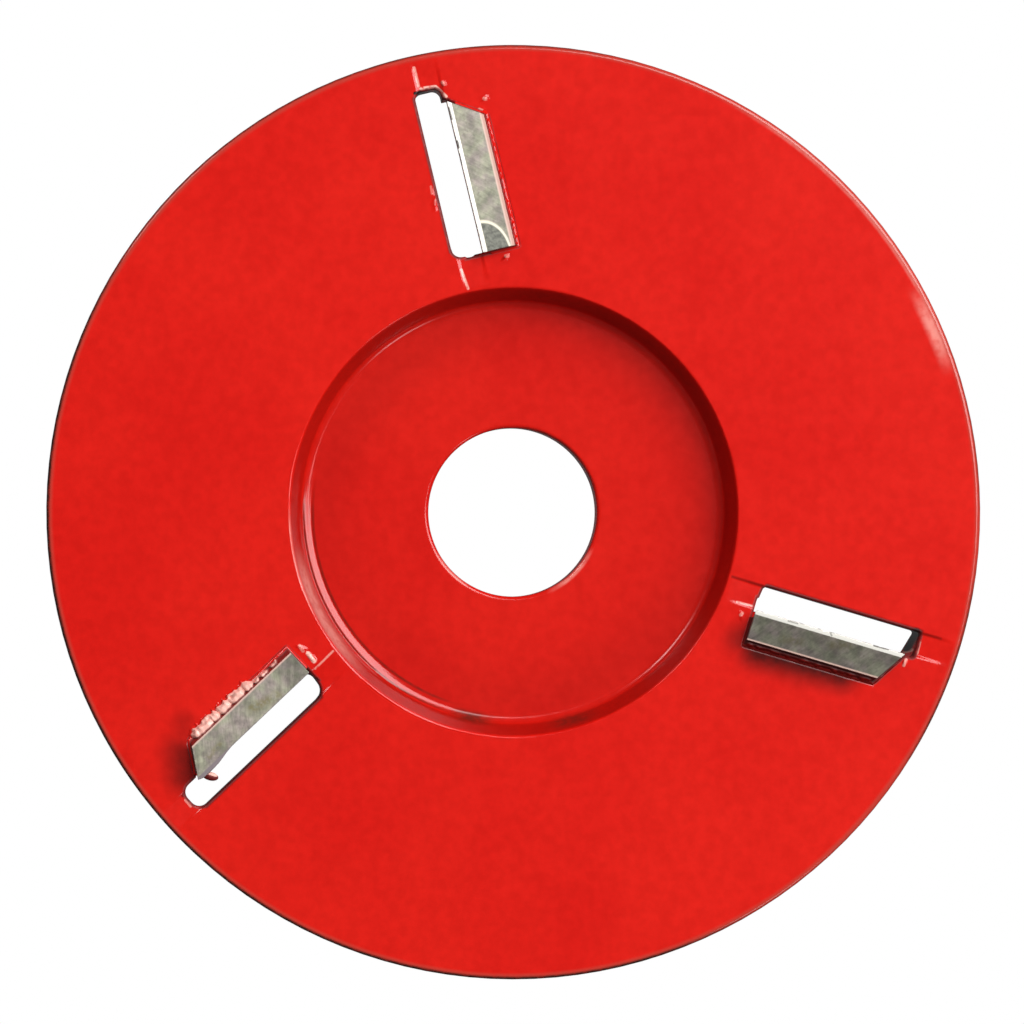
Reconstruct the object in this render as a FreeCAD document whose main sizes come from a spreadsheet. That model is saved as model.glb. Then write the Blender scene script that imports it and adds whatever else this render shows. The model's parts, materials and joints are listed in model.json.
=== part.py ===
"""Three-tooth carving disc for an angle grinder.

A turned steel disc with a sunken hub carries three carbide tips. Each tip is brazed into a seat beside its
chip slot. Sizes are in millimetres. The origin is on the arbor axis at the rear clamping face, and +Z points
out of the working face.

Each tooth is drawn along +X and turned into place. There, X is the distance from the axis and -Y is the
distance behind the slot's leading wall, which lies on a radius.
"""
import FreeCAD, Part
import os

import Sketcher

TOOTH_COUNT = 3
START = 1
END = 2
CENTRE = 3
ORIGIN_POINT = (-1, 1)
SAME = 1e-4

SIZES = [
    ("rim_radius", 45.0, "outside of the disc"),
    ("face_height", 8.5, "working face above the rear clamping face"),
    ("tip_height", 10.0, "cutting edges above the rear clamping face"),
    ("flange_thickness", 5.0, "flange that carries the teeth"),
    ("rim_rounding", 0.7, "both edges of the rim"),
    ("bore_radius", 8.15, "clears a 16 mm arbor"),
    ("bore_chamfer", 0.4, "both ends of the bore"),
    ("web_thickness", 5.0, "hub between the clamping faces"),
    ("recess_radius", 21.65, "mouth of the nut recess"),
    ("recess_floor_radius", 20.3, "foot of the recess wall"),
    ("recess_lip_rounding", 0.35, "mouth of the nut recess"),
    ("recess_foot_rounding", 0.5, "foot of the recess wall"),
    ("boss_radius", 22.5, "rear clamping face"),
    ("boss_root_radius", 23.6, "boss where it meets the flange"),
    ("boss_chamfer", 0.5, "edge of the rear clamping face"),
    ("boss_root_rounding", 1.2, "between boss and flange"),
    ("first_tooth_angle", 103.5, "first slot's leading wall from +X, in degrees"),
    ("slot_inner_end", 24.9, "distance of the slot's inner end from the axis"),
    ("slot_outer_end", 41.6, "distance of the slot's outer end from the axis"),
    ("slot_width", 2.55, "chip slot"),
    ("slot_corner_radius", 0.9, "ends of the chip slot"),
    ("channel_sweep", 190.0, "radius of the arc that the shallow channel's floor follows"),
    ("channel_depth", 0.33, "channel's deepest point, half way along the slot"),
    ("channel_width", 2.3, "shallow channel along the slot"),
    ("rake", 25.0, "forward lean of each tip, in degrees"),
    ("seat_outer_end", 40.25, "distance of the seat's outer end from the axis"),
    ("seat_offset", 6.4, "seat's back wall at the working face, behind the slot's leading wall"),
    ("seat_depth", 1.67, "seat's back wall below the working face"),
    ("tip_inner_end", 25.0, "distance of the tip's inner end from the axis"),
    ("tip_outer_end", 40.05, "distance of the tip's outer corner from the axis"),
    ("tip_thickness", 2.5, "carbide plate"),
    ("tip_plate_height", 4.6, "carbide plate along its front face"),
    ("land_width", 0.45, "flat ground beside the cutting edge"),
    ("land_relief", 4.0, "slope of that flat, in degrees"),
    ("tip_relief", 12.0, "slope of the rest of the ground top, in degrees"),
    ("side_relief", 32.5, "slope of the tip's outer end, in degrees"),
    ("edge_offset_1", 2.80, "cutting edge 1 behind its slot's leading wall"),
    ("edge_offset_2", 2.00, "cutting edge 2 behind its slot's leading wall"),
    ("edge_offset_3", 2.40, "cutting edge 3 behind its slot's leading wall"),
    ("fillet_height", 0.5, "braze fillet up the back of each tip"),
    ("fillet_foot", 0.3, "braze fillet beyond the seat's edge"),
    ("overcut", 2.0, "how far a cutting tool starts outside the metal"),
]

# The tip's front face leans over the slot, so points on the tip follow from these two directions.
DOWN_FRONT = ("sin(sizes.rake)", "-cos(sizes.rake)")
INTO_PLATE = ("cos(sizes.rake)", "sin(sizes.rake)")

# Where the seat's back wall meets its floor, as distance behind the slot's leading wall and height.
SEAT_CORNER = (
    "sizes.seat_offset + sizes.seat_depth * tan(sizes.rake)",
    "sizes.face_height - sizes.seat_depth",
)


def make_sheet(doc):
    """Put the driving dimensions in a spreadsheet, one alias each."""
    sheet = doc.addObject("Spreadsheet::Sheet", "sizes")
    for row, (alias, size, note) in enumerate(SIZES, start=1):
        sheet.set(f"A{row}", note)
        sheet.set(f"B{row}", str(size))
        sheet.setAlias(f"B{row}", alias)
    doc.recompute()
    return sheet


def value(sheet, text):
    """The number that an expression on the sheet gives now."""
    return float(sheet.evalExpression(text))


def origin_feature(body, role):
    """One of a body's own origin planes or axes."""
    return next(item for item in body.Origin.OriginFeatures if item.Role == role)


def new_body(doc, name, turn):
    """An empty body, turned about the arbor axis by an angle in degrees."""
    body = doc.addObject("PartDesign::Body", name)
    body.Label = name
    body.Placement = FreeCAD.Placement(FreeCAD.Vector(), FreeCAD.Vector(0, 0, 1), 1)
    body.setExpression("Placement.Rotation.Angle", f"({turn}) * 1 deg")
    return body


def new_sketch(body, name, plane, offset="0"):
    """An empty sketch on a plane through the body's origin, or at an offset from it."""
    sketch = body.newObject("Sketcher::SketchObject", name)
    sketch.AttachmentSupport = [(origin_feature(body, plane), "")]
    sketch.MapMode = "FlatFace"
    sketch.setExpression("AttachmentOffset.Base.z", offset)
    return sketch


def bind(sheet, sketch, kind, *points, size):
    """Add a dimension to a sketch and bind it to the sheet."""
    row = sketch.addConstraint(Sketcher.Constraint(kind, *points, value(sheet, size)))
    sketch.setExpression(f"Constraints[{row}]", size)


def arc_between(first, second, radius):
    """The arc of a given radius that turns left from one point to another."""
    chord = second - first
    reach = (radius ** 2 - chord.Length ** 2 / 4) ** 0.5
    centre = (first + second) / 2 + FreeCAD.Vector(-chord.y, chord.x, 0).normalize() * reach
    angles = [(end - centre).getAngle(FreeCAD.Vector(1, 0, 0)) for end in (first, second)]
    angles = [angle if end.y >= centre.y else -angle for angle, end in zip(angles, (first, second))]
    return Part.ArcOfCircle(Part.Circle(centre, FreeCAD.Vector(0, 0, 1), radius), *angles)


def outline(sheet, body, name, plane, corners, offset="0"):
    """A closed outline whose corners are all bound to the sheet.

    A corner is (x, y), where a straight line starts, or (x, y, radius), where an arc to the left starts.
    """
    sketch = new_sketch(body, name, plane, offset)
    points = [FreeCAD.Vector(value(sheet, corner[0]), value(sheet, corner[1]), 0) for corner in corners]
    for corner, first, second in zip(corners, points, points[1:] + points[:1]):
        if len(corner) == 2:
            sketch.addGeometry(Part.LineSegment(first, second))
        else:
            sketch.addGeometry(arc_between(first, second, value(sheet, corner[2])))
    for side, corner in enumerate(corners):
        following = (side + 1) % len(corners)
        sketch.addConstraint(Sketcher.Constraint("Coincident", side, END, following, START))
        bind(sheet, sketch, "DistanceX", *ORIGIN_POINT, side, START, size=corner[0])
        bind(sheet, sketch, "DistanceY", *ORIGIN_POINT, side, START, size=corner[1])
        if len(corner) == 3:
            bind(sheet, sketch, "Radius", side, size=corner[2])
    return sketch


def circle(sheet, body, name, plane, centre, radius):
    """A circle whose centre and radius are bound to the sheet."""
    sketch = new_sketch(body, name, plane)
    middle = FreeCAD.Vector(value(sheet, centre[0]), value(sheet, centre[1]), 0)
    sketch.addGeometry(Part.Circle(middle, FreeCAD.Vector(0, 0, 1), value(sheet, radius)))
    bind(sheet, sketch, "DistanceX", *ORIGIN_POINT, 0, CENTRE, size=centre[0])
    bind(sheet, sketch, "DistanceY", *ORIGIN_POINT, 0, CENTRE, size=centre[1])
    bind(sheet, sketch, "Radius", 0, size=radius)
    return sketch


def pad(body, name, sketch, length):
    """Extrude a sketch along its normal."""
    feature = body.newObject("PartDesign::Pad", name)
    feature.Profile = sketch
    feature.setExpression("Length", length)
    body.Document.recompute()


def pocket(body, name, sketch, length):
    """Cut a sketch out of the body along its normal, and check that metal went."""
    before = body.Shape.Volume
    feature = body.newObject("PartDesign::Pocket", name)
    feature.Profile = sketch
    feature.Reversed = True
    feature.setExpression("Length", length)
    body.Document.recompute()
    if body.Shape.Volume > before - SAME:
        raise RuntimeError(f"{name} cut nothing")
    return feature


def dress(body, kind, name, edges, size_name, size):
    """Round or chamfer a list of edges of the body's present shape."""
    base = body.Tip
    feature = body.newObject(f"PartDesign::{kind}", name)
    feature.Base = (base, edges)
    feature.setExpression(size_name, size)
    body.Document.recompute()


def ring_edges(sheet, shape, rings):
    """Names of the circular edges about the arbor axis with the given radii and heights."""
    names = []
    for radius, height in rings:
        for number, edge in enumerate(shape.Edges, start=1):
            box = edge.BoundBox
            flat = box.ZLength < SAME and abs(box.ZMin - value(sheet, height)) < SAME
            if flat and abs(box.XMax - value(sheet, radius)) < SAME:
                names.append(f"Edge{number}")
    return names


def point(*parts):
    """Add scaled directions: each part is a start point or a (length, direction) pair."""
    start, *steps = parts
    across, up = start
    for length, direction in steps:
        across += f" + ({length}) * ({direction[0]})"
        up += f" + ({length}) * ({direction[1]})"
    return across, up


def section(*points):
    """Turn points given as distance behind the slot's wall and height into sketch corners."""
    return [(f"-({across})", up) for across, up in points]


def turn_disc(sheet, body):
    """The turned blank: flange, sunken hub, rear boss and bore, with its edges broken."""
    underside = "sizes.face_height - sizes.flange_thickness"
    profile = outline(sheet, body, "disc_profile", "XZ_Plane", [
        ("sizes.bore_radius", "0"),
        ("sizes.boss_radius", "0"),
        ("sizes.boss_root_radius", underside),
        ("sizes.rim_radius", underside),
        ("sizes.rim_radius", "sizes.face_height"),
        ("sizes.recess_radius", "sizes.face_height"),
        ("sizes.recess_floor_radius", "sizes.web_thickness"),
        ("sizes.bore_radius", "sizes.web_thickness"),
    ])
    blank = body.newObject("PartDesign::Revolution", "disc_blank")
    blank.Profile = profile
    blank.ReferenceAxis = (profile, ["V_Axis"])
    blank.Angle = 360
    body.Document.recompute()

    roundings = [
        ("rim_rounding", [("sizes.rim_radius", underside), ("sizes.rim_radius", "sizes.face_height")]),
        ("recess_lip_rounding", [("sizes.recess_radius", "sizes.face_height")]),
        ("recess_foot_rounding", [("sizes.recess_floor_radius", "sizes.web_thickness")]),
        ("boss_root_rounding", [("sizes.boss_root_radius", underside)]),
    ]
    chamfers = [
        ("bore_chamfer", [("sizes.bore_radius", "0"), ("sizes.bore_radius", "sizes.web_thickness")]),
        ("boss_chamfer", [("sizes.boss_radius", "0")]),
    ]
    for name, rings in roundings:
        edges = ring_edges(sheet, body.Shape, rings)
        dress(body, "Fillet", name, edges, "Radius", f"sizes.{name}")
    for name, rings in chamfers:
        edges = ring_edges(sheet, body.Shape, rings)
        dress(body, "Chamfer", name, edges, "Size", f"sizes.{name}")


def mill_teeth(sheet, body):
    """Chip slots, the shallow channels along them and the tip seats, repeated around the disc."""
    corner = "sizes.slot_corner_radius"
    slot_outline = outline(sheet, body, "slot_outline", "XY_Plane", [
        ("sizes.slot_inner_end", "-sizes.slot_width"),
        (f"sizes.slot_outer_end - {corner}", "-sizes.slot_width", corner),
        ("sizes.slot_outer_end", f"-sizes.slot_width + {corner}"),
        ("sizes.slot_outer_end", f"-{corner}", corner),
        (f"sizes.slot_outer_end - {corner}", "0"),
        (f"sizes.slot_inner_end + {corner}", "0", corner),
        ("sizes.slot_inner_end", f"-{corner}"),
    ])
    slot = pocket(body, "chip_slot", slot_outline, "sizes.face_height + sizes.overcut")

    channel_outline = circle(
        sheet, body, "channel_outline", "XZ_Plane",
        ("(sizes.slot_inner_end + sizes.slot_outer_end) / 2",
         "sizes.face_height + sizes.channel_sweep - sizes.channel_depth"),
        "sizes.channel_sweep")
    channel = pocket(body, "channel", channel_outline, "sizes.channel_width")

    above = "sizes.face_height + sizes.overcut"
    in_slot = "sizes.slot_width / 2"
    floor_in_slot = f"({SEAT_CORNER[1]}) - ({SEAT_CORNER[0]} - {in_slot}) * tan(sizes.rake)"
    seat_outline = outline(sheet, body, "seat_outline", "YZ_Plane", section(
        ("sizes.seat_offset - sizes.overcut * tan(sizes.rake)", above),
        SEAT_CORNER,
        (in_slot, floor_in_slot),
        (in_slot, above),
    ), offset="sizes.slot_inner_end")
    seat = pocket(body, "tip_seat", seat_outline, "sizes.seat_outer_end - sizes.slot_inner_end")

    before = body.Shape.Volume
    pattern = body.newObject("PartDesign::PolarPattern", "teeth")
    pattern.Originals = [slot, channel, seat]
    pattern.Axis = (origin_feature(body, "Z_Axis"), [""])
    pattern.Angle = 360
    pattern.Occurrences = TOOTH_COUNT
    body.Tip = pattern
    body.Document.recompute()
    if body.Shape.Volume > before - SAME:
        raise RuntimeError("the teeth were not repeated")


def make_disc(doc, sheet):
    """The painted steel disc."""
    body = new_body(doc, "disc_body", "sizes.first_tooth_angle")
    turn_disc(sheet, body)
    mill_teeth(sheet, body)
    return body


def tooth_turn(tooth):
    """Angle of a tooth, counted from one, about the arbor axis."""
    return f"sizes.first_tooth_angle + {tooth - 1} * 360 / {TOOTH_COUNT}"


def make_tip(doc, sheet, tooth):
    """A carbide plate that leans forward, with its top ground to a land and a relief behind it."""
    body = new_body(doc, f"carbide_insert_{tooth}", tooth_turn(tooth))
    edge = (f"sizes.edge_offset_{tooth}", "sizes.tip_height")
    front_foot = point(edge, ("sizes.tip_plate_height", DOWN_FRONT))
    back_foot = point(front_foot, ("sizes.tip_thickness", INTO_PLATE))
    land_end = point(edge, ("sizes.land_width", ("1", "-tan(sizes.land_relief)")))
    land_depth = "sizes.land_width * cos(sizes.rake + sizes.land_relief) / cos(sizes.land_relief)"
    slope_length = f"(sizes.tip_thickness - {land_depth}) / cos(sizes.rake + sizes.tip_relief)"
    heel = point(land_end, (slope_length, ("cos(sizes.tip_relief)", "-sin(sizes.tip_relief)")))
    tip_outline = outline(sheet, body, f"tip_outline_{tooth}", "YZ_Plane", section(
        edge, front_foot, back_foot, heel, land_end), offset="sizes.tip_inner_end")
    pad(body, f"tip_plate_{tooth}", tip_outline, "sizes.tip_outer_end - sizes.tip_inner_end")

    behind_tip = "2 * sizes.tip_plate_height"
    end_outline = outline(sheet, body, f"side_relief_outline_{tooth}", "XY_Plane", [
        ("sizes.tip_outer_end", f"-{edge[0]}"),
        (f"sizes.tip_outer_end - {behind_tip} * tan(sizes.side_relief)", f"-{edge[0]} - {behind_tip}"),
        ("sizes.tip_outer_end + sizes.overcut", f"-{edge[0]} - {behind_tip}"),
        ("sizes.tip_outer_end + sizes.overcut", f"-{edge[0]}"),
    ])
    pocket(body, f"side_relief_{tooth}", end_outline, "sizes.tip_height + sizes.overcut")
    return body


def make_braze(doc, sheet, tooth, tip):
    """The braze: everything in the seat that the tip leaves free, and a fillet up the tip's back."""
    fill = new_body(doc, f"braze_fill_{tooth}", tooth_turn(tooth))
    edge = f"sizes.edge_offset_{tooth}"
    front_at_face = f"{edge} + (sizes.tip_height - sizes.face_height) * tan(sizes.rake)"
    back_at_face = f"{front_at_face} + sizes.tip_thickness / cos(sizes.rake)"
    drop = f"(sizes.seat_offset - ({front_at_face})) * cos(sizes.rake)"
    front_on_floor = point(SEAT_CORNER, (f"-({drop})", INTO_PLATE))
    fill_outline = outline(sheet, fill, f"fill_outline_{tooth}", "YZ_Plane", section(
        SEAT_CORNER,
        front_on_floor,
        (front_at_face, "sizes.face_height"),
        ("sizes.seat_offset", "sizes.face_height"),
    ), offset="sizes.slot_inner_end")
    pad(fill, f"fill_{tooth}", fill_outline, "sizes.seat_outer_end - sizes.slot_inner_end")

    shortening = f"(sizes.seat_offset - {edge}) * tan(sizes.side_relief)"
    fillet_top = "sizes.face_height + sizes.fillet_height"
    fillet_outline = outline(sheet, fill, f"fillet_outline_{tooth}", "YZ_Plane", section(
        (f"{back_at_face} - sizes.tip_thickness / 2", "sizes.face_height"),
        (f"{back_at_face} - sizes.fillet_height * tan(sizes.rake)", fillet_top),
        ("sizes.seat_offset + sizes.fillet_foot", "sizes.face_height"),
    ), offset="sizes.tip_inner_end")
    pad(fill, f"fillet_{tooth}", fillet_outline,
        f"sizes.tip_outer_end - {shortening} - sizes.tip_inner_end")

    seam = doc.addObject("Part::Cut", f"braze_seam_{tooth}")
    seam.Label = f"braze_seam_{tooth}"
    seam.Base = fill
    seam.Tool = tip
    doc.recompute()
    return seam


def check(doc, pieces):
    """Stop if anything in the document failed or a piece is not one sound solid."""
    for item in doc.Objects:
        if "Invalid" in item.State or "Error" in item.State:
            raise RuntimeError(f"{item.Label} failed: {item.State}")
    for piece in pieces:
        shape = piece.Shape
        if shape.isNull() or not shape.isValid() or len(shape.Solids) != 1:
            raise RuntimeError(f"{piece.Label} is not one valid solid")


def main():
    doc = FreeCAD.newDocument("carving_disc")
    sheet = make_sheet(doc)
    pieces = [make_disc(doc, sheet)]
    for tooth in range(1, TOOTH_COUNT + 1):
        tip = make_tip(doc, sheet, tooth)
        pieces += [tip, make_braze(doc, sheet, tooth, tip)]
    doc.recompute()
    check(doc, pieces)
    os.makedirs("parts", exist_ok=True)
    for piece in pieces:
        piece.Shape.exportStep(f"parts/{piece.Label}.step")
        box = piece.Shape.BoundBox
        print(f"{piece.Label}: {piece.Shape.Volume:.2f} mm3, z {box.ZMin:.2f} to {box.ZMax:.2f}")


main()
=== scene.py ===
"""Looks of the carving disc: painted body, ground carbide tips and painted braze, on a lit white table.

Lengths in this file are millimetres until a mesh is made. Shapes are written as fields: a field gives, for
points in space, a distance to a solid's surface that is negative inside the solid.
"""
import json
import math

import bpy
import numpy as np
from mathutils import Matrix, Vector


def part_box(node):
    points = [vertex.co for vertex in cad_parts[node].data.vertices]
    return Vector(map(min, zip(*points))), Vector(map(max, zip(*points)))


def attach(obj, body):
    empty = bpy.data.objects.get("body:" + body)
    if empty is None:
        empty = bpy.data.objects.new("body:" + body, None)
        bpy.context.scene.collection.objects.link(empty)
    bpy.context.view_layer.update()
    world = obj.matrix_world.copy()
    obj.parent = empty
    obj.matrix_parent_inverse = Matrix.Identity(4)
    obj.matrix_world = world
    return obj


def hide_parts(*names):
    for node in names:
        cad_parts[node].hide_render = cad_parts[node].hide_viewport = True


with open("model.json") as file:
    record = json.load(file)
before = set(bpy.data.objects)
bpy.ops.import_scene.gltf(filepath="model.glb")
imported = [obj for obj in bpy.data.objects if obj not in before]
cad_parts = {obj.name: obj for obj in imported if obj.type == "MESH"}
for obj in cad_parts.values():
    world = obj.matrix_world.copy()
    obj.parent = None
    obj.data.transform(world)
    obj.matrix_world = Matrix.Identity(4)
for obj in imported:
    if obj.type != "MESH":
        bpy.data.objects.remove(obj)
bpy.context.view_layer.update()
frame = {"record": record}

MM = 0.001
TOOTH_COUNT = 3

MOUNTS = {mount["name"]: mount for mount in frame["record"]["mounts"]}


def box_mm(node):
    """A node's lowest and highest corners in millimetres."""
    low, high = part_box(node)
    return Vector(low) / MM, Vector(high) / MM


# Sizes of the steel body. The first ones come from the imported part.
DISC_LOW, DISC_HIGH = box_mm("disc_body")
FACE = DISC_HIGH.z
RIM_RADIUS = (DISC_HIGH.x - DISC_LOW.x) / 2
TIP_TOP = box_mm("carbide_insert_1")[1].z
BORE_RADIUS = MOUNTS["arbor_bore"]["dims"]["r_mm"]
WEB = MOUNTS["front_clamp_face"]["pos_m"][2] / MM
FLANGE = 5.0
UNDERSIDE = FACE - FLANGE
PAINT_BUILD = 0.08
RIM_ROUNDING = 0.42
BORE_ROUNDING = 0.4
RECESS_MOUTH = 21.65
RECESS_FOOT = 20.3
LIP_ROUNDING = 0.10
FOOT_ROUNDING = 0.55
BOSS_RADIUS = 22.5
BOSS_ROOT = 23.6
BOSS_ROUNDING = 0.5
BOSS_ROOT_ROUNDING = 1.2

# Faint waves in the paint, as depth and length.
WAVE_DEPTH = 0.010
WAVE_LENGTH = 5.0

# Turning marks at the recess foot as (radius, width, depth), deepest at one heading and gone past a reach.
GROOVES = ((19.50, 0.15, 0.055), (19.95, 0.14, -0.030), (20.38, 0.17, 0.19))
GROOVE_HEADING = math.radians(204)
GROOVE_REACH = (math.radians(16), math.radians(42))

# Places by a tooth: along is the distance from the axis, and behind is the distance behind the leading wall.
# A row of three values holds one for each tooth.
FIRST_TOOTH = math.radians(103.5)

# The chip slot, and a narrow opening between it and the first tip.
SLOT_WIDTH = 2.55
SLOT_INNER = 25.2
SLOT_INNER_SLANT = 0.13
SLOT_OUTER = (41.5, 41.8, 41.05)
SLOT_OUTER_SLOPE = (0.03, 0.0, 0.10)
SLOT_OUTER_SKEW = (0.0, 0.0, 0.055)
SLOT_CORNERS = (0.8, 0.95, 0.35)
NOTCH_BACK = 3.05
NOTCH_ENDS = (25.1, 40.1)

# The shallow arc that the slot's cutter left in the face.
CHANNEL_SWEEP = 190.0
CHANNEL_DEPTH = 0.33
CHANNEL_MIDDLE = 33.25
CHANNEL_WALLS = ((0.45, 2.75), (0.05, 2.35), (0.05, 2.3))
CHANNEL_WALL_WIDTH = 0.38

# The tip's seat, the gap that the paint keeps from the tip, and the rounding of painted edges.
SEAT_INNER = 24.9
SEAT_OUTER = 40.25
SEAT_BACK = 6.4
SEAT_DEPTH = 1.67
TIP_GAP = 0.12
PAINTED_EDGE = 0.2

# The tip. Its edge lies at an offset behind the leading wall, and its top ends at the heel.
TIP_ENDS = (25.0, 40.05)
TIP_THICKNESS = 2.5
TIP_HEIGHT = 4.6
RAKE = math.radians(25.0)
EDGE_OFFSETS = (2.80, 2.00, 2.40)
HEEL = 3.0
LAND_WIDTH = 0.45
LAND_RELIEF = math.radians(4.0)
TIP_RELIEF = math.radians(12.0)
SIDE_RELIEF = math.radians(32.5)
FRONT_ROUNDING = 0.12
BACK_ROUNDING = 0.1
SIDE_ROUNDING = 0.06
LAND_ROUNDING = 0.03
TOP_ROUNDING = 0.045
HONE = 0.05

# The second tip's edge is worn back, except on a stretch that starts and ends softly.
WORN_EDGE = 0.40
WORN_ENDS = ((35.0, 38.2), (39.0, 40.4))


# ---------------------------------------------------------------- fields

def both(first, second, radius=0.0):
    """Where two solids overlap, with the shared edge rounded."""
    sharp = np.maximum(first, second)
    bulge = np.hypot(np.maximum(first + radius, 0), np.maximum(second + radius, 0))
    return np.minimum(-radius, sharp) + bulge


def either(first, second, radius=0.0):
    """Two solids together, with the shared corner filled by a fillet."""
    return -both(-first, -second, radius)


def slope_line(across, up, start, end):
    """Distance to the right of the line from start to end in a plane."""
    run, rise = end[0] - start[0], end[1] - start[1]
    return ((across - start[0]) * rise - (up - start[1]) * run) / math.hypot(run, rise)


def ripple(points, size, seed, waves=14):
    """A smooth random field from -1 to 1 whose bumps are about as wide as size."""
    random = np.random.default_rng(seed)
    total = np.zeros(points.shape[:-1])
    for _ in range(waves):
        heading = random.normal(size=3)
        heading *= random.uniform(0.6, 1.5) * math.pi / (size * np.linalg.norm(heading))
        total += np.sin(points @ heading + random.uniform(0, 2 * math.pi))
    return total / waves ** 0.5 / 2


def tooth_places(points):
    """Distance along and behind the nearest tooth's leading wall, and that tooth's number from zero."""
    sector = 2 * math.pi / TOOTH_COUNT
    before = math.radians(50)
    angle = np.arctan2(points[..., 1], points[..., 0])
    turn = FIRST_TOOTH - angle + before
    behind_angle = turn % sector - before
    tooth = np.rint((angle + behind_angle - FIRST_TOOTH) / sector).astype(int) % TOOTH_COUNT
    radius = np.hypot(points[..., 0], points[..., 1])
    return radius * np.cos(behind_angle), radius * np.sin(behind_angle), tooth


def turned_body(radius, up):
    """The turned blank: face, recess, web, rear boss, rim and bore."""
    wall = slope_line(radius, up, (RECESS_MOUTH, FACE), (RECESS_FOOT, WEB))
    top = either(up - WEB, both(up - FACE, wall, LIP_ROUNDING), FOOT_ROUNDING)
    boss_side = slope_line(radius, up, (BOSS_RADIUS, 0), (BOSS_ROOT, UNDERSIDE))
    bottom = either(UNDERSIDE - up, both(-up, boss_side, BOSS_ROUNDING), BOSS_ROOT_ROUNDING)
    body = np.maximum(top, bottom)
    body = both(body, radius - RIM_RADIUS - PAINT_BUILD, RIM_ROUNDING)
    return both(body, BORE_RADIUS - radius, BORE_ROUNDING)


def per_tooth(values, tooth):
    """The value of each point's own tooth."""
    return np.asarray(values)[tooth]


def slot_space(along, behind, up, tooth):
    """The chip slot, which goes right through. Its outer end slopes inwards with depth."""
    slope = per_tooth(SLOT_OUTER_SLOPE, tooth) + per_tooth(SLOT_OUTER_SKEW, tooth) * behind
    outer = per_tooth(SLOT_OUTER, tooth) - slope * (FACE - up)
    inner = SLOT_INNER - SLOT_INNER_SLANT * behind
    ends = np.maximum(inner - along, along - outer)
    slot = both(ends, np.abs(behind - SLOT_WIDTH / 2) - SLOT_WIDTH / 2, per_tooth(SLOT_CORNERS, tooth))
    notch = np.maximum.reduce([NOTCH_ENDS[0] - along, along - NOTCH_ENDS[1],
                               behind - NOTCH_BACK, SLOT_WIDTH / 2 - behind])
    return np.where(tooth == 0, np.minimum(slot, notch), slot)


def plate_places(behind, up, tooth):
    """Places in a tip's own plate: depth into it from the front face, and distance down that face."""
    across, down = behind - per_tooth(EDGE_OFFSETS, tooth), TIP_TOP - up
    depth = across * math.cos(RAKE) - down * math.sin(RAKE)
    return depth, across * math.sin(RAKE) + down * math.cos(RAKE)


def side_end(behind, tooth):
    """Distance of the tip's slanted outer end from the axis."""
    return TIP_ENDS[1] - (behind - per_tooth(EDGE_OFFSETS, tooth)) * math.tan(SIDE_RELIEF)


def beside_tip(along, behind, up, tooth):
    """Distance from a tip's back, slanted end and inner end. It is negative in front of the tip too."""
    depth = plate_places(behind, up, tooth)[0]
    outer = (along - side_end(behind, tooth)) * math.cos(SIDE_RELIEF)
    return np.maximum.reduce([depth - TIP_THICKNESS, outer, TIP_ENDS[0] - along])


def seat_space(along, behind, up):
    """The seat that holds a tip and its braze."""
    corner = (SEAT_BACK + SEAT_DEPTH * math.tan(RAKE), FACE - SEAT_DEPTH)
    back = (behind - corner[0]) * math.cos(RAKE) + (up - corner[1]) * math.sin(RAKE)
    floor = (behind - corner[0]) * math.sin(RAKE) - (up - corner[1]) * math.cos(RAKE)
    ends = np.maximum(SEAT_INNER - along, along - SEAT_OUTER)
    return np.maximum.reduce([back, floor, ends, SLOT_WIDTH / 2 - behind])


def ease(value, low, high):
    """From 0 below low to 1 above high, smoothly."""
    share = np.clip((value - low) / (high - low), 0, 1)
    return share * share * (3 - 2 * share)


def channel_dent(along, behind, tooth):
    """Depth of the shallow channel along the slot and past both its ends."""
    depth = np.maximum(CHANNEL_DEPTH - (along - CHANNEL_MIDDLE) ** 2 / (2 * CHANNEL_SWEEP), 0)
    walls = per_tooth(CHANNEL_WALLS, tooth)
    half = CHANNEL_WALL_WIDTH / 2
    low, high = walls[..., 0], walls[..., 1]
    return depth * (ease(behind - low, -half, half) - ease(behind - high, -half, half))


def groove_dent(points):
    """Depth of the turning grooves, with a low ridge between them, at the foot of the recess wall."""
    turned = np.arctan2(points[..., 1], points[..., 0]) - GROOVE_HEADING
    turned = np.abs((turned + math.pi) % (2 * math.pi) - math.pi)
    radius = np.hypot(points[..., 0], points[..., 1])
    profile = sum(depth * np.exp(-((radius - middle) / width) ** 2) for middle, width, depth in GROOVES)
    return profile * (1 - ease(turned, *GROOVE_REACH))


# Drops and spatter under the paint by a tooth, as (tooth, (behind, along), (half sizes), height).
DROPS = [
    (1, (3.3, 23.85), (0.85, 0.34), 0.20),
    (1, (4.7, 23.95), (0.45, 0.25), 0.10),
    (0, (6.55, 39.45), (0.30, 0.30), 0.14),
    (0, (5.95, 38.45), (0.32, 0.30), 0.16),
    (0, (3.0, 41.75), (0.26, 0.36), 0.16),
    (0, (5.05, 24.15), (0.32, 0.26), 0.16),
    (0, (-0.5, 32.0), (0.20, 0.50), 0.10),
    (0, (-0.45, 30.8), (0.20, 0.35), 0.08),
    (2, (3.2, 40.3), (0.50, 0.24), 0.16),
    (2, (5.7, 37.8), (0.28, 0.30), 0.16),
    (2, (3.2, 23.8), (0.35, 0.26), 0.12),
]


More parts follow.
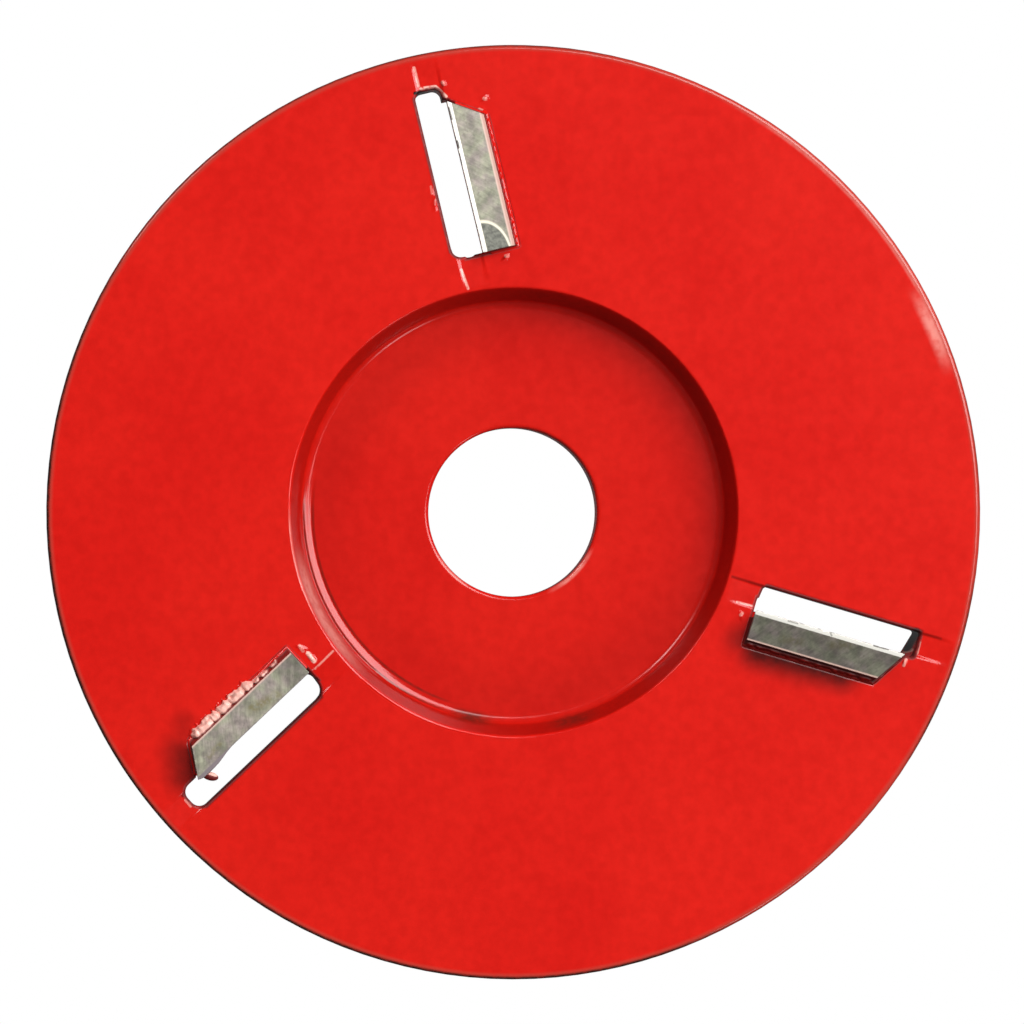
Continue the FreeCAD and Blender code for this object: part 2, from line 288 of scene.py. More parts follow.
def face_dent(points, along, behind, tooth):
    """How far the painted skin lies below the turned blank: channels, grooves, waves and paint drops."""
    dent = channel_dent(along, behind, tooth)
    dent = dent + WAVE_DEPTH * ripple(points * (1, 1, 0), WAVE_LENGTH, 3)
    for own, middle, reach, height in DROPS:
        drop = np.hypot((behind - middle[0]) / reach[0], (along - middle[1]) / reach[1])
        dent = dent - np.where(tooth == own, height * (1 - ease(drop, 0.2, 1.0)), 0)
    dent = dent * ease(points[..., 2], FACE - 2.0, FACE - 0.8)
    return dent + groove_dent(points) * ease(points[..., 2], WEB - 1.0, WEB - 0.4)


def body_field(points):
    """The painted steel body."""
    along, behind, tooth = tooth_places(points)
    up = points[..., 2]
    body = turned_body(np.hypot(points[..., 0], points[..., 1]), up + face_dent(points, along, behind, tooth))
    return both(body, -openings(along, behind, up, tooth), PAINTED_EDGE)


def openings(along, behind, up, tooth):
    """What the painted skin leaves open: the slot, and the seat as far as the tip fills it."""
    seat = np.maximum(seat_space(along, behind, up), beside_tip(along, behind, up, tooth) - TIP_GAP)
    return np.minimum(slot_space(along, behind, up, tooth), seat)


def tip_field(along, behind, up, tooth, crumbs):
    """A carbide tip. Crumbs are the (along, size) of small breaks in its cutting edge."""
    depth, down = plate_places(behind, up, tooth)
    across = behind - EDGE_OFFSETS[tooth]
    kept = ease(along, *WORN_ENDS[0]) - ease(along, *WORN_ENDS[1])
    worn_and_highlit = WORN_EDGE * (1 - kept) if tooth == 1 else 0.0
    front = both(-depth, TIP_ENDS[0] - along, FRONT_ROUNDING)
    plate = np.maximum(front, both(depth - TIP_THICKNESS, down - TIP_HEIGHT, BACK_ROUNDING))
    outer = (along - side_end(behind, tooth)) * math.cos(SIDE_RELIEF)
    plate = both(both(plate, outer, SIDE_ROUNDING), worn_and_highlit - across, SIDE_ROUNDING)
    land = (up - TIP_TOP) * math.cos(LAND_RELIEF) + across * math.sin(LAND_RELIEF)
    start = (LAND_WIDTH, TIP_TOP - LAND_WIDTH * math.tan(LAND_RELIEF))
    relief = (up - start[1]) * math.cos(TIP_RELIEF) + (across - start[0]) * math.sin(TIP_RELIEF)
    hone = ((up - TIP_TOP + HONE) - across) * math.sqrt(0.5)
    top = both(both(land, relief, LAND_ROUNDING), hone, LAND_ROUNDING)
    plate = both(plate, top, TOP_ROUNDING)
    for place, size in crumbs:
        bite = size - np.sqrt((along - place) ** 2 / 3 + (across + 0.25 * size) ** 2 + (up - TIP_TOP) ** 2)
        plate = both(plate, bite, LAND_ROUNDING)
    return plate


# The braze beads behind the tips: where they lie along the tips, and how wide, high and uneven they are.
BEAD_ENDS = ((24.9, 38.2), (26.3, 37.4), (24.9, 37.8))
BEAD_WIDTHS = (0.66, 1.2, 0.66)
BEAD_HEIGHTS = (0.40, 0.80, 0.50)
BEAD_LUMPS = (0.08, 0.18, 0.12)
BEAD_LUMP_SIZES = (0.75, 0.35)
BEAD_END_LENGTH = 0.3
BEAD_LIMIT = 0.88
BEAD_FILLET = 0.16

# The second bead's lobes as (along, half length), its height between them and at them, and where it narrows.
BEAD_LOBES = ((36.15, 1.3), (34.5, 0.45), (33.2, 0.70), (31.65, 0.82), (30.2, 0.50),
              (29.3, 0.3), (28.2, 0.55), (26.9, 0.45))
LOBE_SHARES = (0.42, 0.58)
BEAD_NARROWS = (29.3, 30.3)

# Where the braze starts behind the edge and behind the tip's front, how far it lies under the paint and
# reaches into the tip, and the clearance to its seat.
BRAZE_START = 0.62
BEHIND_FRONT = 0.15
PAINT_COVER = 0.3
PAINT_UNDER = 0.14
IN_TIP = 0.5
SEAT_CLEARANCE = 0.03

# The drop of braze on the second tip's edge, as (along, behind, up), turn and (length, width).
FLECK = ((38.78, 1.72, 0.72), math.radians(33), (0.80, 0.42))
FLECK_START = 0.85


def bead_height(along, behind, tooth, seed):
    """Height of the braze above the working face, which ends under the paint away from the tip."""
    across = behind - EDGE_OFFSETS[tooth]
    flat = np.stack([along, behind, np.zeros_like(along)], axis=-1)
    lumps = ripple(flat, BEAD_LUMP_SIZES[0], seed)
    small = ripple(flat, BEAD_LUMP_SIZES[1], seed + 1)
    started, ended = (ease(along, end - BEAD_END_LENGTH, end + BEAD_END_LENGTH) for end in BEAD_ENDS[tooth])
    ends = started * (1 - ended)
    width = BEAD_WIDTHS[tooth] * (1 + 0.2 * small)
    ridge = ends * BEAD_HEIGHTS[tooth]
    if tooth == 1:
        width = width * (0.5 + 0.5 * ease(along, *BEAD_NARROWS))
        lobes = [np.exp(-((along + 0.1 * lumps - middle) / half) ** 6) for middle, half in BEAD_LOBES]
        ridge = ridge * (LOBE_SHARES[0] + LOBE_SHARES[1] * np.maximum.reduce(lobes))
    ridge = ridge * (1 - ease(across - HEEL, 0.5 * width, 1.1 * width))
    ridge = ridge * (1 + BEAD_LUMPS[tooth] * (lumps + 0.5 * small))
    outside = beside_tip(along, behind, FACE, tooth)
    fillet = BEAD_FILLET * (1 - ease(outside, 0.05, 0.4)) * (1 + 0.4 * lumps)
    buried = PAINT_COVER * ease(outside, 0.2, 0.6)
    return FACE + np.clip(np.maximum(ridge, fillet), 0, BEAD_LIMIT) - buried * (ridge < 0.02)


def braze_field(along, behind, up, tooth, seed):
    """Braze: it fills the seat around the tip and climbs the tip's back. It reaches into the tip unseen."""
    top = (up - bead_height(along, behind, tooth, seed)) * 0.85
    low = np.minimum(seat_space(along, behind, up) - SEAT_CLEARANCE, FACE - PAINT_UNDER - up)
    low = np.maximum(low, EDGE_OFFSETS[tooth] + BRAZE_START - behind)
    braze = both(top, low, 0.03)
    depth = plate_places(behind, up, tooth)[0]
    braze = both(braze, BEHIND_FRONT - depth, 0.05)
    braze = np.maximum(braze, -IN_TIP - tip_field(along, behind, up, tooth, ()))
    return np.minimum(braze, fleck_field(along, behind, up)) if tooth == 1 else braze


def fleck_field(along, behind, up):
    """A long drop of braze that hangs on the second tip's cutting edge."""
    middle, turn, (length, width) = FLECK
    ahead, aside = along - middle[0], behind - middle[1]
    forward = aside * math.cos(turn) + ahead * math.sin(turn)
    sideways = ahead * math.cos(turn) - aside * math.sin(turn)
    size = np.sqrt((forward / length) ** 2 + (sideways / width) ** 2 + ((up - FACE - middle[2]) / width) ** 2)
    return (size - 1) * width


# ---------------------------------------------------------------- meshes from fields

def spaced(start, *stretches):
    """Positions from start through stretches of (end, step)."""
    places = [start]
    for end, step in stretches:
        count = max(1, round((end - places[-1]) / step))
        places += list(np.linspace(places[-1], end, count + 1)[1:])
    return np.array(places)


def crossing_points(nodes, values, cells):
    """For each cell that the surface crosses, the mean of the points where it crosses the cell's edges."""
    total = np.zeros((len(cells), 3))
    hits = np.zeros((len(cells), 1))
    corners = [np.array([a, b, c]) for a in (0, 1) for b in (0, 1) for c in (0, 1)]
    for low in corners:
        for axis in np.flatnonzero(low == 0):
            high = low + np.eye(3, dtype=int)[axis]
            first, second = tuple((cells + low).T), tuple((cells + high).T)
            a, b = values[first], values[second]
            crossed = (a < 0) != (b < 0)
            share = np.where(crossed, a / np.where(crossed, a - b, 1), 0)[:, None]
            total += np.where(crossed[:, None], nodes[first] * (1 - share) + nodes[second] * share, 0)
            hits += crossed[:, None]
    return total / hits


def net_faces(inside, index, closed):
    """One quad around each grid edge that the surface crosses."""
    faces = []
    for axis in range(3):
        side, up = (axis + 1) % 3, (axis + 2) % 3
        low = np.moveaxis(inside, axis, 0)
        low, high = np.moveaxis(low[:-1], 0, axis), np.moveaxis(low[1:], 0, axis)
        edges = np.argwhere(low != high)
        for other in (side, up):
            if closed and other == 0:
                edges = edges[edges[:, 0] < inside.shape[0] - 1]
            else:
                last = inside.shape[other] - 1
                edges = edges[(edges[:, other] > 0) & (edges[:, other] < last)]
        steps = np.eye(3, dtype=int)
        around = [edges - steps[side] - steps[up], edges - steps[up], edges, edges - steps[side]]
        if closed:
            around = [np.column_stack([cells[:, 0] % index.shape[0], cells[:, 1:]]) for cells in around]
        quads = np.column_stack([index[tuple(cells.T)] for cells in around])
        outward = low[tuple(edges.T)]
        faces.append(np.where(outward[:, None], quads, quads[:, ::-1]))
    return np.concatenate(faces)


def gradient(field, points):
    """The direction in which a field grows, at each point."""
    reach = 0.004
    steps = reach * np.eye(3)
    return np.column_stack([(field(points + step) - field(points - step)) / (2 * reach) for step in steps])


def settle(field, points, limit):
    """Move points onto the field's surface, each step no longer than limit."""
    rounds, flattest = 4, 0.05
    for _ in range(rounds):
        slope = gradient(field, points)
        steepness = np.maximum((slope ** 2).sum(axis=1), flattest)
        move = -(field(points) / steepness)[:, None] * slope
        length = np.linalg.norm(move, axis=1, keepdims=True)
        points = points + move * np.minimum(1, limit / np.maximum(length, 1e-9))
    return points


def net(name, nodes, field, closed=False, limit=0.05, mirrored=False):
    """A mesh of the surface of a field, made on a grid of nodes, with the field's own normals.

    closed: the first axis runs in a circle. mirrored: the grid's axes are left-handed.
    """
    values = field(nodes)
    if closed:
        nodes = np.concatenate([nodes, nodes[:1]])
        values = np.concatenate([values, values[:1]])
    inside = values < 0
    shape = np.array(inside.shape) - 1
    count = np.zeros(shape, int)
    for a in (0, 1):
        for b in (0, 1):
            for c in (0, 1):
                count += inside[a:shape[0] + a, b:shape[1] + b, c:shape[2] + c]
    cells = np.argwhere((count > 0) & (count < 8))
    index = np.full(shape, -1)
    index[tuple(cells.T)] = np.arange(len(cells))
    points = settle(field, crossing_points(nodes, values, cells), limit)
    faces = net_faces(inside, index, closed)
    if mirrored:
        faces = faces[:, ::-1]
    return mesh_piece(name, points, faces.tolist(), gradient(field, points))


def mesh_piece(name, points, faces, normals=None):
    """A smooth mesh object from points in millimetres."""
    mesh = bpy.data.meshes.new(name)
    mesh.from_pydata((np.asarray(points) * MM).tolist(), [], faces)
    mesh.shade_smooth()
    if normals is not None:
        normals = normals / np.maximum(np.linalg.norm(normals, axis=1, keepdims=True), 1e-9)
        mesh.normals_split_custom_set_from_vertices(normals.tolist())
    piece = bpy.data.objects.new(name, mesh)
    bpy.context.scene.collection.objects.link(piece)
    return piece


def store(piece, name, values):
    """Keep one number per point on a mesh, for its material."""
    attribute = piece.data.attributes.new(name, "FLOAT", "POINT")
    attribute.data.foreach_set("value", np.asarray(values, np.float32))


def points_of(piece):
    """A piece's points in millimetres."""
    flat = np.empty(len(piece.data.vertices) * 3, np.float32)
    piece.data.vertices.foreach_get("co", flat)
    return flat.reshape(-1, 3).astype(float) / MM


# ---------------------------------------------------------------- pieces

def body_grid():
    """Grid nodes of the body: circles and radii, which run along and across the slots near each tooth.

    The grid is finer where the field has an edge or a small rounding.
    """
    slot_middle = 33.0
    tooth_lines = spaced(
        -1.3, (-0.4, 0.45), (-0.2, 0.1), (0.9, 0.09), (1.85, 0.24), (3.2, 0.09), (7.8, 0.42)) / slot_middle
    sector = 2 * math.pi / TOOTH_COUNT
    open_turn = spaced(tooth_lines[-1], (sector + tooth_lines[0], 0.047))[1:-1]
    turns = np.concatenate([tooth_lines, open_turn])
    rows = spaced(
        7.9, (8.8, 0.11), (19.1, 1.0), (20.7, 0.09), (22.1, 0.15), (24.6, 0.3), (25.6, 0.1),
        (38.6, 0.9), (42.2, 0.13), (44.1, 0.32), (45.12, 0.1))
    levels = spaced(
        -0.15, (0.75, 0.12), (UNDERSIDE - 1.3, 0.6), (UNDERSIDE + 0.2, 0.12), (WEB - 0.25, 0.4),
        (WEB + 0.7, 0.095), (FACE - 0.9, 0.45), (FACE - 0.42, 0.12), (FACE + 0.28, 0.07))
    turn, row = np.meshgrid(turns, rows, indexing="ij")
    signed = np.where(turn > sector / 2, turn - sector, turn)
    reach = 0.5
    straight = ease(signed, tooth_lines[0] - reach, tooth_lines[0])
    straight *= 1 - ease(signed, tooth_lines[-1], tooth_lines[-1] + reach)
    straight *= ease(row, 22.4, 24.7) * (1 - ease(row, 42.2, 44.6))
    held = np.clip(signed, tooth_lines[0], tooth_lines[-1])
    parallel = np.arctan2(slot_middle * held, row) + signed - held
    angle = signed * (1 - straight) + parallel * straight
    stretch = np.hypot(row, slot_middle * held) / row
    radius = row * (1 + (stretch - 1) * straight)
    sectors = []
    for tooth in range(TOOTH_COUNT):
        heading = FIRST_TOOTH - tooth * sector - angle - np.where(turn > sector / 2, sector, 0)
        sectors.append(np.stack([radius * np.cos(heading), radius * np.sin(heading)], axis=-1))
    flat = np.concatenate(sectors)
    nodes = np.empty(flat.shape[:2] + (len(levels), 3))
    nodes[..., :2] = flat[:, :, None, :]
    nodes[..., 2] = levels
    return nodes


def make_body(paint):
    """The painted body, which stands for the CAD one."""
    piece = net("disc_body_painted", body_grid(), body_field, closed=True)
    along, behind, tooth = tooth_places(points_of(piece))
    across, ahead, up = points_of(piece).T
    store(piece, "up", up)
    store(piece, "radius", np.hypot(across, ahead))
    store(piece, "along", along)
    store(piece, "behind", behind)
    store(piece, "tooth", tooth)
    store(piece, "gap", openings(along, behind, np.maximum(up, FACE - 0.3), tooth))
    finish(piece, paint, "disc_body")


def finish(piece, material, node):
    """Give a piece its material and let it stand for a CAD node."""
    piece.data.materials.append(material)
    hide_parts(node)
    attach(piece, "root")


def tooth_angle(tooth):
    """Heading of a tooth's leading wall, counted from zero the way the slots follow each other."""
    return FIRST_TOOTH + tooth * 2 * math.pi / TOOTH_COUNT


def local_net(name, tooth, local_nodes, field, limit, mirrored):
    """A mesh in a tooth's own places: (along, behind, up) nodes and a field of those three."""
    heading = tooth_angle(tooth)
    outward = np.array([math.cos(heading), math.sin(heading), 0])
    backward = np.array([math.sin(heading), -math.cos(heading), 0])
    upward = np.array([0, 0, 1])
    axes = np.stack([outward, backward, upward])

    def shared_field(points):
        local = points @ axes.T
        return field(local[..., 0], local[..., 1], local[..., 2])

    piece = net(name, local_nodes @ axes, shared_field, limit=limit, mirrored=mirrored)
    local = points_of(piece) @ axes.T
    store(piece, "along", local[:, 0])
    store(piece, "behind", local[:, 1])
    store(piece, "across", local[:, 1] - EDGE_OFFSETS[tooth])
    store(piece, "up", local[:, 2])
    store(piece, "gap", beside_tip(local[:, 0], local[:, 1], local[:, 2], tooth))
    store(piece, "tooth", np.full(len(local), tooth))
    return piece


def make_tip(tooth, carbide):
    """A ground carbide tip with a few breaks in its cutting edge."""
    random = np.random.default_rng(20 + tooth)
    crumbs = [(random.uniform(25.3, 39.7), random.uniform(0.05, 0.13)) for _ in range(16)]
    share = spaced(-0.012, (0.012, 0.004), (0.985, 0.0095), (1.012, 0.0045))
    depth = spaced(-0.12, (0.55, 0.06), (2.2, 0.16), (2.62, 0.06))
    down = spaced(-1.15, (2.6, 0.07), (4.3, 0.25), (4.72, 0.07))
    shares, depths, downs = np.meshgrid(share, depth, down, indexing="ij")
    behind = EDGE_OFFSETS[tooth] + depths * math.cos(RAKE) + downs * math.sin(RAKE)
    up = TIP_TOP + depths * math.sin(RAKE) - downs * math.cos(RAKE)
    along = TIP_ENDS[0] + shares * (side_end(behind, tooth) - TIP_ENDS[0])
    nodes = np.stack([along, behind, up], axis=-1)
    name = f"carbide_insert_{tooth + 1}"
    piece = local_net(f"{name}_ground", tooth, nodes,
                      lambda *place: tip_field(*place, tooth, crumbs), limit=0.04, mirrored=False)
    finish(piece, carbide, name)


def make_braze(tooth, paint):
    """The painted braze around a tip."""
    seed = 40 + 5 * tooth
    along = spaced(23.9, (25.6, 0.09), (37.0, 0.13), (41.3, 0.09))
    start = FLECK_START if tooth == 1 else EDGE_OFFSETS[tooth] + 0.4
    behind = spaced(start, (7.4, 0.09))
    up = spaced(FACE - 4.1, (FACE - 0.4, 0.22), (FACE + 1.16, 0.08))
    nodes = np.stack(np.meshgrid(along, behind, up, indexing="ij"), axis=-1)
    name = f"braze_seam_{tooth + 1}"
    piece = local_net(f"{name}_painted", tooth, nodes,
                      lambda *place: braze_field(*place, tooth, seed), limit=0.05, mirrored=True)
    finish(piece, paint, name)


# ---------------------------------------------------------------- materials

class Graph:
    """A material's nodes, added one call at a time. Each call returns the new node's output."""

    def __init__(self, name):
        self.material = bpy.data.materials.new(name)
        self.material.use_nodes = True
        self.nodes = self.material.node_tree.nodes
        self.links = self.material.node_tree.links
        self.shader = self.nodes["Principled BSDF"]

    def add(self, kind, inputs, output=0, **settings):
        """A node of any kind. Inputs are other nodes' outputs or plain values."""
        node = self.nodes.new(f"ShaderNode{kind}")
        for name, setting in settings.items():
            setattr(node, name, setting)
        for key, source in inputs.items():
            if isinstance(source, bpy.types.NodeSocket):
                self.links.new(source, node.inputs[key])
            else:
                node.inputs[key].default_value = source
        return node.outputs[output]

    def math(self, operation, *values):
        """Arithmetic on numbers."""
        return self.add("Math", dict(enumerate(values)), operation=operation)

    def product(self, first, *factors):
        """Several numbers multiplied."""
        for factor in factors:
            first = self.math("MULTIPLY", first, factor)
        return first

    def length(self, first, second):
        """The length of a flat arrow from its two parts."""
        return self.math("SQRT", self.math("ADD", self.product(first, first), self.product(second, second)))

    def place(self):
        """The point on the piece in millimetres."""
        shared = self.add("TexCoord", {}, "Object")
        return self.add("VectorMath", {0: shared, 3: 1 / MM}, operation="SCALE")

    def heading(self):
        """The direction of the point from the disc's axis in degrees, from 0 to 360."""
        sideways = self.product(self.add("SeparateXYZ", {0: self.place()}, 0), -1.0)
        ahead = self.product(self.add("SeparateXYZ", {0: self.place()}, 1), -1.0)
        return self.math("MULTIPLY_ADD", self.math("ARCTAN2", ahead, sideways), math.degrees(1.0), 180.0)

    def attribute(self, name):
        """A number that store() kept on the mesh."""
        return self.add("Attribute", {}, "Fac", attribute_name=name)

    def noise(self, place, size, detail=2.0, roughness=0.5, seed=0.0):
        """Noise about 0.5 whose spots are about as wide as size."""
        return self.add("TexNoise", {"Vector": place, "W": seed, "Scale": 0.5 / size, "Detail": detail,
                                     "Roughness": roughness}, 0, noise_dimensions="4D")

    def step(self, value, low, high):
        """From 0 below low to 1 above high, smoothly."""
        return self.add("MapRange", {"Value": value, "From Min": low, "From Max": high},
                        interpolation_type="SMOOTHSTEP")

    def scale(self, value, low, high):
        """From low to high while value goes from 0 to 1."""
        return self.add("MapRange", {"Value": value, "To Min": low, "To Max": high})

    def mix(self, share, first, second):
        """A colour between two others."""
        return self.add("Mix", {0: share, 6: first, 7: second}, 2, data_type="RGBA")

    def multiply(self, colour, factor):
        """A colour made lighter or darker."""
        return self.add("VectorMath", {0: colour, 3: factor}, operation="SCALE")

    def bump(self, height, depth):
        """Normals of small relief, with depth in millimetres."""
        return self.add("Bump", {"Height": height, "Distance": depth * MM, "Strength": 1.0})

    def set(self, **sources):
        """Link or fill the shader's inputs, whose names are given with underscores for spaces."""
        for name, source in sources.items():
            socket = self.shader.inputs[name.replace("_", " ")]
            if isinstance(source, bpy.types.NodeSocket):
                self.links.new(source, socket)
            else:
                socket.default_value = source


def colour(red, green, blue):
    """An opaque colour."""
    return (red, green, blue, 1.0)


def of_tooth(graph, tooth):
    """1 on one tooth and 0 on the others."""
    return graph.math("COMPARE", graph.attribute("tooth"), float(tooth), 0.01)


def near_line(graph, start, end, half_width, core):
    """1 on a short stroke between two (behind, along) places and 0 away from it."""
    across, up = end[0] - start[0], end[1] - start[1]
    length = math.hypot(across, up)
    heading = (across / length, up / length)
    behind = graph.math("SUBTRACT", graph.attribute("behind"), start[0])
    along = graph.math("SUBTRACT", graph.attribute("along"), start[1])
    forward = graph.math("ADD", graph.product(behind, heading[0]), graph.product(along, heading[1]))
    sideways = graph.math("SUBTRACT", graph.product(along, heading[0]), graph.product(behind, heading[1]))
    held = graph.math("MINIMUM", graph.math("MAXIMUM", forward, 0.0), length)
    beyond = graph.math("SUBTRACT", forward, held)
    return graph.step(graph.length(beyond, sideways), half_width, core * half_width)


def strokes(graph, marks, core=0.4):
    """The strongest of a list of (tooth, start, end, half_width, strength) strokes."""
    total = None
    for tooth, start, end, half_width, strength in marks:
        mark = graph.product(near_line(graph, start, end, half_width, core), of_tooth(graph, tooth), strength)
        total = mark if total is None else graph.math("MAXIMUM", total, mark)
    return total


def ring_band(graph, start, end, inner, outer, soft):
    """1 on a part of a ring between two headings in degrees and two radii, and 0 away from it."""
    heading, radius = graph.heading(), graph.attribute("radius")
    middle, half = (inner + outer) / 2, (outer - inner) / 2
    off = graph.math("ABSOLUTE", graph.math("SUBTRACT", radius, middle))
    across = graph.step(off, half, 0.15 * half)
    turned = graph.math("ABSOLUTE", graph.math("SUBTRACT", heading, (start + end) / 2))
    around = graph.step(turned, (end - start) / 2 + soft, (end - start) / 2 - soft)
    return graph.product(across, around)


def rings(graph, bands):
    """The strongest of a list of (start, end, inner, outer, soft, strength) bands."""
    total = None
    for *band, strength in bands:
        mark = graph.product(ring_band(graph, *band), strength)
        total = mark if total is None else graph.math("MAXIMUM", total, mark)
    return total


# Bare or pale spots in the paint by a tooth, and painted highlights on paint drops and channel edges, as
# (tooth, start, end, half width, strength), with places as (behind, along).
PALE_AND_HIGHLIGHT_MARKS = [
    (0, (0.8, 41.8), (2.2, 41.65), 0.22, 0.95),
    (0, (2.2, 41.65), (2.95, 40.5), 0.22, 0.95),
    (0, (2.8, 40.5), (2.78, 39.4), 0.24, 0.9),
    (0, (2.95, 41.9), (3.05, 41.7), 0.22, 0.45),
    (0, (6.5, 39.45), (6.6, 39.4), 0.24, 0.4),
    (0, (5.8, 38.5), (6.0, 38.35), 0.26, 0.55),
    (0, (5.0, 24.2), (5.15, 24.15), 0.24, 0.4),
    (0, (-0.5, 32.4), (-0.55, 31.7), 0.14, 0.25),
    (0, (-0.4, 31.0), (-0.5, 30.6), 0.14, 0.2),
    (0, (0.6, 43.9), (0.62, 42.1), 0.2, 0.55),
    (0, (0.5, 23.9), (0.7, 22.0), 0.18, 0.7),
    (1, (2.85, 23.9), (3.8, 23.8), 0.28, 0.95),
    (1, (4.3, 24.0), (4.9, 23.9), 0.22, 0.35),
    (1, (2.25, 24.3), (2.3, 21.9), 0.14, 0.45),
    (1, (0.9, 42.15), (1.7, 42.1), 0.16, 0.4),
    (2, (0.9, 41.2), (2.0, 41.25), 0.14, 0.5),
    (2, (1.8, 40.75), (2.35, 40.0), 0.2, 0.9),
    (2, (2.9, 40.35), (3.5, 40.3), 0.2, 0.55),
    (2, (5.55, 37.9), (5.75, 37.7), 0.24, 0.6),
    (2, (2.15, 24.6), (2.2, 23.1), 0.15, 0.45),
    (2, (3.1, 23.9), (3.3, 23.8), 0.22, 0.35),
]

# Soot from brazing, and painted shade on the slot's outer end walls, in the same form.
SOOT_AND_SHADE_MARKS = [
    (0, (0.1, 41.5), (0.6, 41.45), 0.22, 1.0),
    (0, (0.6, 41.45), (1.3, 41.25), 0.26, 1.0),
    (0, (1.5, 41.3), (2.05, 41.2), 0.22, 1.0),
    (0, (2.05, 41.2), (2.5, 40.3), 0.26, 1.0),
    (2, (0.1, 40.55), (1.7, 40.3), 0.6, 1.0),
    (2, (0.5, 40.2), (2.0, 39.7), 0.5, 1.0),
]

# Soft dark marks in the same form: painted shadows cast by the second and third tips, partly paint burned by
# brazing, and dark lines along the slot edges, partly painted shade.
BURNT_AND_SHADOW_MARKS = [
    (0, (-0.12, 41.0), (-0.12, 25.8), 0.30, 0.75),
    (1, (-0.10, 41.0), (-0.10, 25.8), 0.38, 1.0),
    (1, (2.15, 42.0), (2.5, 40.7), 0.30, 0.8),
    (2, (-0.10, 41.0), (-0.10, 25.5), 0.38, 1.0),
    (2, (0.0, 43.0), (0.0, 41.0), 0.25, 0.5),
    (2, (0.0, 25.0), (0.0, 22.0), 0.25, 0.6),
    (2, (6.0, 34.8), (6.3, 26.2), 2.8, 1.0),
    (2, (6.8, 31.0), (5.6, 24.3), 2.4, 0.6),
    (1, (3.4, 40.6), (5.2, 39.3), 3.0, 0.72),
    (1, (5.6, 39.0), (7.2, 37.0), 2.0, 0.35),
]

# Pale places on rings, as (start, end, inner, outer, soft, strength): worn spots by the bore, and painted
# highlights and reflections on the recess wall, lip and rim.
PALE_AND_HIGHLIGHT_RINGS = [
    (194, 222, 20.45, 21.75, 7, 0.34),
    (181, 206, 21.50, 21.85, 4, 0.25),
    (20, 27, 43.2, 45.2, 3, 0.45),
    (22, 58, 44.25, 45.15, 6, 0.32),
    (300, 330, 8.1, 8.75, 8, 0.35),
    (212, 236, 8.1, 8.6, 8, 0.25),
]
# Dark places on rings in the same form: dirt spots, and painted shade on the recess wall, beside the foot
# highlight and on the rim and bore edges.
DIRT_AND_SHADE_RINGS = [
    (254, 263, 19.3, 21.1, 4, 0.8),
    (281, 291, 20.1, 21.6, 4, 0.7),
    (22, 98, 20.4, 21.75, 20, 0.35),
    (176, 250, 20.02, 20.42, 8, 0.6),
    (176, 250, 19.12, 19.52, 8, 0.6),
    (148, 296, 44.72, 45.3, 8, 1.0),
    (328, 351, 44.75, 45.3, 6, 0.9),
    (0, 20, 44.85, 45.25, 6, 0.5),
    (78, 148, 44.8, 45.3, 8, 0.7),
    (15, 80, 8.05, 8.45, 10, 0.6),
]


# Colours of the paint, of what wears, stains or burns it, and of the painted light and shade on it.
DEEP_RED = colour(0.56, 0.0060, 0.0030)
BRIGHT_RED = colour(0.60, 0.0090, 0.0042)
PALE_PRIMER_AND_HIGHLIGHT = colour(0.90, 0.50, 0.42)
SEAM_AND_SHADE_RED = colour(0.13, 0.0035, 0.0025)
BURNT_AND_SHADOW_RED = colour(0.050, 0.003, 0.002)
BURNT_AND_SHADED_BRAZE = colour(0.040, 0.003, 0.002)
RIM_BROWN = colour(0.42, 0.045, 0.030)
DIRT_AND_SHADE_BROWN = colour(0.045, 0.012, 0.007)
SOOT_AND_SHADE_BLACK = colour(0.016, 0.002, 0.0015)


def paint_material(name, wear_and_painted_light):
    """Glossy red paint with faint waves and clouds. The given function adds marks and painted light and
    shade, and says where a dull seam is.
    """
    graph = Graph(name)
    place = graph.place()
    clouds = graph.noise(place, 7.0, 3.0)
    fine = graph.noise(place, 0.45, 3.0)
    ragged = graph.noise(place, 0.3, 2.5, seed=1.0)
    peel = graph.noise(place, 0.8, 2.0, seed=3.0)
    red = graph.mix(graph.step(clouds, 0.3, 0.7), DEEP_RED, BRIGHT_RED)
    red = graph.multiply(red, graph.scale(graph.step(fine, 0.2, 0.8), 0.92, 1.07))
    red, seam_and_shade = wear_and_painted_light(graph, red, ragged)
    roughness = graph.math("MULTIPLY_ADD", seam_and_shade, 0.5, graph.scale(fine, 0.15, 0.22))
    graph.set(Base_Color=red, Roughness=roughness, Normal=graph.bump(peel, 0.008))
    graph.shader.inputs["Specular IOR Level"].default_value = 0.40
    return graph.material


def recess_shade(graph, red, radius):
    """Painted shade: the recess wall darker, and the floor a little darker towards the wall."""
    wall = graph.product(graph.step(radius, RECESS_FOOT + 0.05, RECESS_FOOT + 0.35),
                         graph.step(radius, RECESS_MOUTH - 0.03, RECESS_MOUTH - 0.2))
    red = graph.multiply(red, graph.scale(wall, 1.0, 0.62))
    floor = graph.step(radius, RECESS_FOOT + 0.3, RECESS_FOOT)
    shade = graph.scale(graph.step(radius, 12.0, 18.5), 0.06, 0.17)
    return graph.multiply(red, graph.math("SUBTRACT", 1.0, graph.product(floor, shade)))


